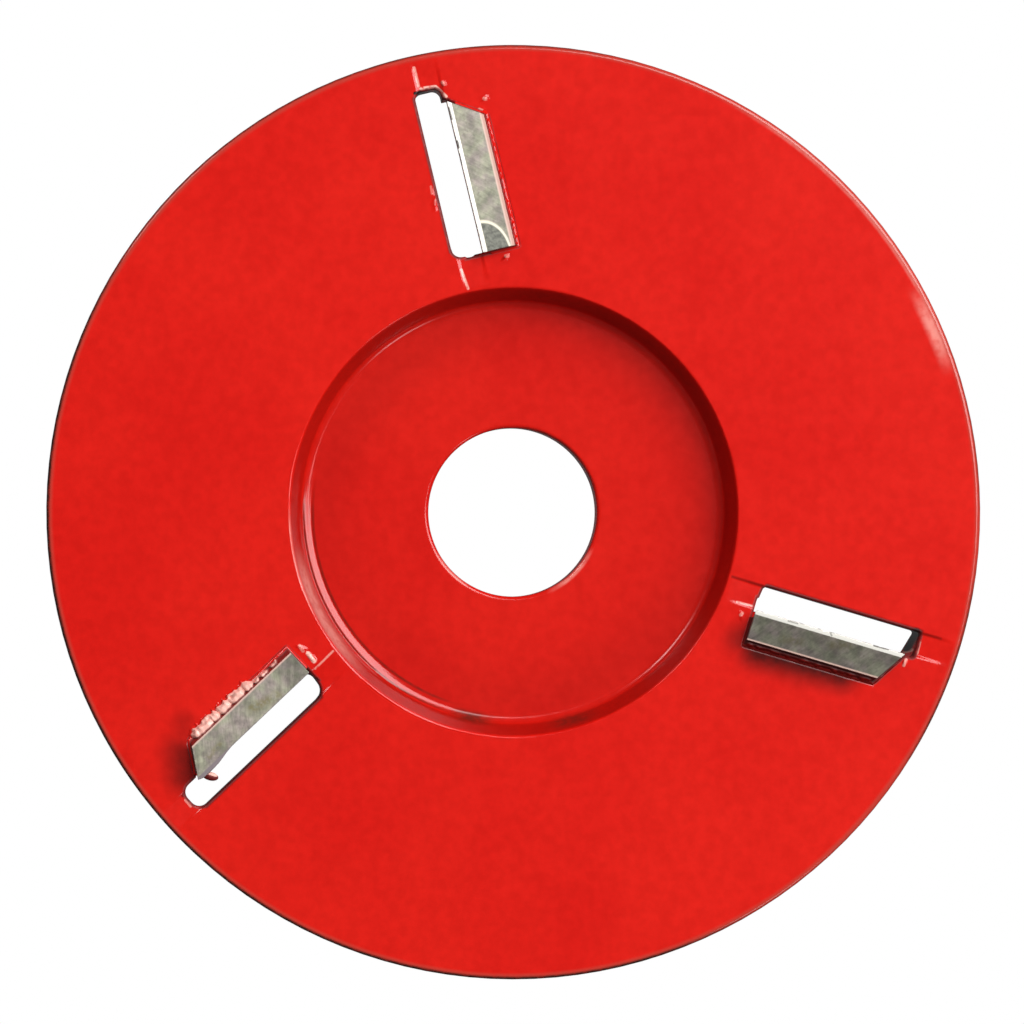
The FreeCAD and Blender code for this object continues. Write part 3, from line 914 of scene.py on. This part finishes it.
def body_wear_and_painted_light(graph, red, ragged):
    """The body's painted shade, shadows and highlights, and its stains, worn spots, seams, dirt and soot."""
    up, radius, gap = (graph.attribute(name) for name in ("up", "radius", "gap"))
    red = recess_shade(graph, red, radius)
    top_side = graph.step(up, UNDERSIDE + 0.3, UNDERSIDE + 0.8)
    top_edge = graph.math("MAXIMUM", graph.step(up, FACE - 1.1, FACE - 0.5), graph.step(radius, 44.0, 43.0))
    patchy = graph.step(ragged, 0.3, 0.6)
    uneven = graph.scale(patchy, 0.6, 1.0)
    # Painted shadows behind the second and third tips, partly burnt paint, and dark slot edges that are
    # partly painted shade.
    burnt_and_shadow = graph.product(strokes(graph, BURNT_AND_SHADOW_MARKS, core=0.0), graph.scale(ragged, 0.8, 1.1), top_side)
    red = graph.mix(burnt_and_shadow, red, BURNT_AND_SHADOW_RED)
    # Pale chipped spots, and painted highlights and reflections on drops, channel edges, the rim, lip and
    # recess wall.
    chipped_and_highlit = graph.product(strokes(graph, PALE_AND_HIGHLIGHT_MARKS), graph.step(ragged, 0.26, 0.46))
    worn_and_highlit = graph.math("MAXIMUM", chipped_and_highlit, graph.product(rings(graph, PALE_AND_HIGHLIGHT_RINGS), uneven))
    red = graph.mix(graph.product(worn_and_highlit, top_side), red, PALE_PRIMER_AND_HIGHLIGHT)
    # A dark seam line along the slot, seat and tip edges: partly dark joints, partly painted shade.
    near_top = graph.step(up, FACE - 1.4, FACE - 0.9)
    seam_and_shade = graph.product(graph.step(gap, 0.34, 0.14), near_top, graph.scale(patchy, 0.55, 1.0))
    red = graph.mix(seam_and_shade, red, SEAM_AND_SHADE_RED)
    rim = graph.product(graph.step(radius, 44.35, 44.8), graph.scale(ragged, 0.5, 1.0), top_edge)
    red = graph.mix(rim, red, RIM_BROWN)
    # Dirt, and painted shade on the recess wall, beside the foot highlight and on the rim and bore edges.
    dirt_and_shade = graph.product(rings(graph, DIRT_AND_SHADE_RINGS), uneven, top_edge)
    red = graph.mix(dirt_and_shade, red, DIRT_AND_SHADE_BROWN)
    # Soot, and painted shade on the slot's outer end walls.
    soot_and_shade = graph.product(strokes(graph, SOOT_AND_SHADE_MARKS), top_side)
    return graph.mix(soot_and_shade, red, SOOT_AND_SHADE_BLACK), seam_and_shade


def braze_wear_and_painted_light(graph, red, ragged):
    """Pale lumps and the hanging drop on the second seam, the third seam painted dark, and dark seam lines.
    The pale lumps are partly painted highlights, the dark third seam is painted shadow and partly burnt
    braze, and the seam lines are partly painted shade.
    """
    up, gap, across = (graph.attribute(name) for name in ("up", "gap", "across"))
    # Pale lumps on the second seam: worn paint and painted highlights.
    crest = graph.step(up, FACE + 0.12, FACE + 0.30)
    worn_and_highlit = graph.product(crest, graph.step(ragged, 0.18, 0.34), of_tooth(graph, 1), 0.95)
    red = graph.mix(worn_and_highlit, red, PALE_PRIMER_AND_HIGHLIGHT)
    # Dark seam lines at the tip: partly dark joints, partly painted shade.
    seam_and_shade = graph.product(graph.step(gap, 0.20, 0.06), 0.9)
    red = graph.mix(seam_and_shade, red, SEAM_AND_SHADE_RED)
    # The third seam painted dark: the shadow it lies in, and partly burnt braze.
    red = graph.mix(graph.product(of_tooth(graph, 2), 0.8), red, BURNT_AND_SHADED_BRAZE)
    hanging = graph.step(across, 0.55, 0.45)
    pale_side = near_line(graph, (1.5, 38.25), (2.2, 38.65), 0.32, 0.5)
    return graph.mix(hanging, red, graph.mix(pale_side, SEAM_AND_SHADE_RED, PALE_PRIMER_AND_HIGHLIGHT)), seam_and_shade


# Olive tarnish on the tips, in the form of the paint's marks.
OLIVE_MARKS = [
    (1, (3.7, 31.4), (2.9, 28.8), 0.8, 0.8),
    (1, (3.2, 37.5), (3.3, 36.0), 0.5, 0.6),
    (2, (3.1, 34.5), (3.6, 33.0), 0.8, 0.6),
    (2, (4.2, 30.0), (4.4, 28.3), 0.7, 0.6),
]

# Chips in the tips' cutting edges, in the same form.
DASH_MARKS = [
    (0, (2.90, 39.3), (2.92, 38.2), 0.13, 0.8),
    (0, (2.92, 36.0), (2.92, 35.4), 0.17, 0.9),
    (0, (2.86, 34.8), (2.86, 33.9), 0.11, 0.5),
    (2, (2.46, 38.3), (2.50, 36.9), 0.13, 0.8),
    (2, (2.75, 32.7), (2.50, 32.5), 0.12, 0.5),
    (2, (2.55, 29.2), (2.58, 28.3), 0.13, 0.5),
]

# Colours of the tips, each tip's brightness as painted light and shade, and the oval of the first tip's
# ground-back corner, whose dark patch is painted shade.
OLIVE_GREY = colour(0.285, 0.285, 0.205)
PINK_GREY = colour(0.31, 0.26, 0.235)
OLIVE = colour(0.19, 0.165, 0.075)
BORDER_PINK_AND_HIGHLIGHT = colour(0.66, 0.44, 0.37)
BLACK_BACK_AND_SHADE = colour(0.03, 0.003, 0.002)
RED_BACK = colour(0.24, 0.010, 0.006)
LAND_CREAM_AND_HIGHLIGHT = colour(0.80, 0.78, 0.71)
LAND_PURPLE_IN_SHADE = colour(0.23, 0.19, 0.20)
PATCH_CREAM = colour(0.60, 0.55, 0.44)
PATCH_SHADE_DARK = colour(0.06, 0.06, 0.05)
PATCH_SHADE_GREY = colour(0.17, 0.17, 0.14)
CHIP_GREY = colour(0.05, 0.045, 0.04)
TIP_LIGHT_AND_SHADE = (0.76, 1.07, 0.56)
PATCH_MIDDLE = (3.2, 24.8)
PATCH_SIZE = (2.3, 3.1)


def tip_grey(graph, along, place, clouds, lines, spots):
    """Ground grey with olive and pinkish clouds, made lighter or darker per tip as painted light and shade.
    """
    tint = graph.noise(place, 0.65, 2.0, 0.5, seed=6.0)
    grey = graph.mix(graph.step(tint, 0.32, 0.68), OLIVE_GREY, PINK_GREY)
    grey = graph.multiply(grey, graph.scale(graph.step(clouds, 0.25, 0.75), 0.60, 1.32))
    grey = graph.multiply(grey, graph.scale(graph.step(lines, 0.3, 0.7), 0.82, 1.15))
    grey = graph.multiply(grey, graph.scale(graph.step(spots, 0.2, 0.45), 0.72, 1.02))
    tarnish = graph.product(strokes(graph, OLIVE_MARKS, core=0.0), graph.step(spots, 0.3, 0.6))
    grey = graph.mix(tarnish, grey, OLIVE)
    light_and_shade = 0.0
    for tooth, own_light_and_shade in enumerate(TIP_LIGHT_AND_SHADE):
        light_and_shade = graph.math("MULTIPLY_ADD", of_tooth(graph, tooth), own_light_and_shade, light_and_shade)
    grey = graph.multiply(grey, light_and_shade)
    dull_end = graph.product(of_tooth(graph, 1), graph.step(along, 28.0, 26.8))
    return graph.multiply(grey, graph.scale(dull_end, 1.0, 0.72))


def ground_corner(graph, grey, across, spots):
    """Painted shade as a dark patch with a cream border, where the first tip's inner corner was ground back
    to a facet that the shape leaves out.
    """
    offsets = []
    for name, middle, size in zip(("behind", "along"), PATCH_MIDDLE, PATCH_SIZE):
        offsets.append(graph.math("DIVIDE", graph.math("SUBTRACT", graph.attribute(name), middle), size))
    out = graph.length(*offsets)
    grey = graph.mix(graph.product(of_tooth(graph, 0), graph.step(out, 1.10, 1.02)), grey, PATCH_CREAM)
    inside = graph.product(of_tooth(graph, 0), graph.step(out, 1.0, 0.94),
                           graph.step(across, LAND_WIDTH, LAND_WIDTH + 0.1))
    return graph.mix(inside, grey, graph.mix(graph.step(spots, 0.25, 0.75), PATCH_SHADE_DARK, PATCH_SHADE_GREY))


def carbide_material():
    """Ground carbide with fine grinding lines, a bright chipped land that is partly a painted highlight and
    is painted in shade on the second tip, a paler rim that is partly a painted highlight, and a braze-stained
    back that is painted in shade on the third tip.
    """
    graph = Graph("ground_carbide")
    along, across, tooth = (graph.attribute(name) for name in ("along", "across", "tooth"))
    apart = graph.product(tooth, 7.0)
    place = graph.add("CombineXYZ", {0: along, 1: across, 2: apart})
    slanted = graph.math("MULTIPLY_ADD", across, 0.8, along)
    lines_place = graph.add("CombineXYZ", {0: slanted, 1: graph.product(across, 0.25), 2: apart})
    lines = graph.noise(lines_place, 0.17, 3.0, 0.65)
    clouds = graph.noise(place, 0.55, 3.0, 0.6, seed=5.0)
    spots = graph.noise(place, 0.2, 2.0, 0.5, seed=8.0)
    chips = graph.noise(graph.add("CombineXYZ", {0: along, 1: tooth}), 0.5, 2.0, 0.5, seed=9.0)
    grey = tip_grey(graph, along, place, clouds, lines, spots)
    # The rim along the heel is paler pink: paint overspray, partly a painted highlight.
    border = graph.step(across, HEEL - 0.20, HEEL - 0.05)
    grey = graph.mix(graph.product(border, 0.85), grey, BORDER_PINK_AND_HIGHLIGHT)
    # The backs of the second and third tips are stained with braze; the third one's near black also paints
    # the shade it lies in.
    back = graph.step(across, HEEL, HEEL + 0.06)
    stained_and_shaded = graph.product(graph.math("SUBTRACT", 1.0, of_tooth(graph, 0)), back)
    grey = graph.mix(stained_and_shaded, grey, graph.mix(of_tooth(graph, 1), BLACK_BACK_AND_SHADE, RED_BACK))
    grey = ground_corner(graph, grey, across, spots)
    # The land is pale cream, partly a painted highlight on the honed edge, and on the second tip a darker
    # purple that paints its shade.
    land = graph.step(across, LAND_WIDTH + 0.05, LAND_WIDTH - 0.03)
    grey = graph.mix(land, grey, graph.mix(of_tooth(graph, 1), LAND_CREAM_AND_HIGHLIGHT, LAND_PURPLE_IN_SHADE))
    dashes = graph.product(graph.step(chips, 0.52, 0.60), graph.step(across, 0.13, 0.05), 0.75)
    dashes = graph.math("MAXIMUM", dashes, strokes(graph, DASH_MARKS))
    grey = graph.mix(dashes, grey, CHIP_GREY)
    height = graph.math("ADD", graph.product(lines, 0.6), graph.product(clouds, 0.4))
    metal = graph.product(graph.math("SUBTRACT", 1.0, border), graph.scale(land, 0.45, 0.2))
    graph.set(Base_Color=grey, Metallic=metal, Roughness=graph.scale(land, 0.55, 0.35),
              Normal=graph.bump(height, 0.008))
    return graph.material


# ---------------------------------------------------------------- stage

AMBIENT = 0.10
TABLE_DROP = 0.02
PLAIN_WHITE = colour(1, 1, 1)


def add_area(name, azimuth, elevation, distance, size, power):
    """A square soft light that looks at the disc."""
    lamp = bpy.data.lights.new(name, "AREA")
    lamp.size = size
    lamp.energy = power
    holder = bpy.data.objects.new(name, lamp)
    turn, rise = math.radians(azimuth), math.radians(elevation)
    away = Vector((math.cos(turn) * math.cos(rise), math.sin(turn) * math.cos(rise), math.sin(rise)))
    holder.location = away * distance
    holder.rotation_euler = away.to_track_quat("Z", "Y").to_euler()
    holder.visible_camera = False
    bpy.context.scene.collection.objects.link(holder)


def make_stage():
    """An evenly lit white table under a white dome. Both are backdrop only and cast no light on the disc."""
    radius, levels, sides = 2.5, 12, 32
    points = [(radius * math.cos(turn) * math.cos(rise), radius * math.sin(turn) * math.cos(rise),
               radius * math.sin(rise))
              for rise in np.linspace(0, math.pi / 2, levels, endpoint=False)
              for turn in np.linspace(0, 2 * math.pi, sides, endpoint=False)]
    faces = [(ring * sides + side, ring * sides + (side + 1) % sides,
              (ring + 1) * sides + (side + 1) % sides, (ring + 1) * sides + side)
             for ring in range(levels - 1) for side in range(sides)]
    faces += [tuple(range((levels - 1) * sides, levels * sides)), tuple(range(sides))]
    mesh = bpy.data.meshes.new("white_table")
    mesh.from_pydata(points, [], faces)
    table = bpy.data.objects.new("white_table", mesh)
    table.location.z = -TABLE_DROP * MM
    table.visible_diffuse = table.visible_glossy = table.visible_shadow = False
    bpy.context.scene.collection.objects.link(table)
    graph = Graph("lit_white")
    graph.set(Base_Color=colour(0, 0, 0), Roughness=1.0, Emission_Color=PLAIN_WHITE, Emission_Strength=1.0)
    graph.shader.inputs["Specular IOR Level"].default_value = 0.0
    mesh.materials.append(graph.material)

    world = bpy.data.worlds.new("studio")
    bpy.context.scene.world = world
    world.use_nodes = True
    background = world.node_tree.nodes["Background"]
    background.inputs["Color"].default_value = PLAIN_WHITE
    background.inputs["Strength"].default_value = AMBIENT
    bpy.context.scene.view_settings.view_transform = "Standard"


def make_camera():
    """Almost straight down on the working face, from far away and a little to the left."""
    width, distance, sensor = 98.75 * MM, 1.2, 36.0
    tilt, heading = math.radians(2.4), math.radians(190)
    camera = bpy.data.cameras.new("camera")
    camera.sensor_width = sensor
    camera.lens = distance * sensor / width
    holder = bpy.data.objects.new("camera", camera)
    away = Vector((math.sin(tilt) * math.cos(heading), math.sin(tilt) * math.sin(heading), math.cos(tilt)))
    target = Vector((-0.21, 0.0, FACE)) * MM
    right = Vector((0, 1, 0)).cross(away).normalized()
    turned = Matrix((right, away.cross(right), away)).transposed().to_4x4()
    holder.matrix_world = Matrix.Translation(target + away * distance) @ turned
    bpy.context.scene.collection.objects.link(holder)
    bpy.context.scene.camera = holder


make_camera()
make_stage()
add_area("key", azimuth=37, elevation=52, distance=1.2, size=0.95, power=23)
add_area("left_side", azimuth=136, elevation=32, distance=1.5, size=0.35, power=4.5)
add_area("right_side", azimuth=306, elevation=32, distance=1.5, size=0.3, power=2.4)
paint = paint_material("red_gloss_paint", body_wear_and_painted_light)
braze_paint = paint_material("red_paint_on_braze", braze_wear_and_painted_light)
carbide = carbide_material()
make_body(paint)
for tooth in range(TOOTH_COUNT):
    make_tip(tooth, carbide)
    make_braze(tooth, braze_paint)
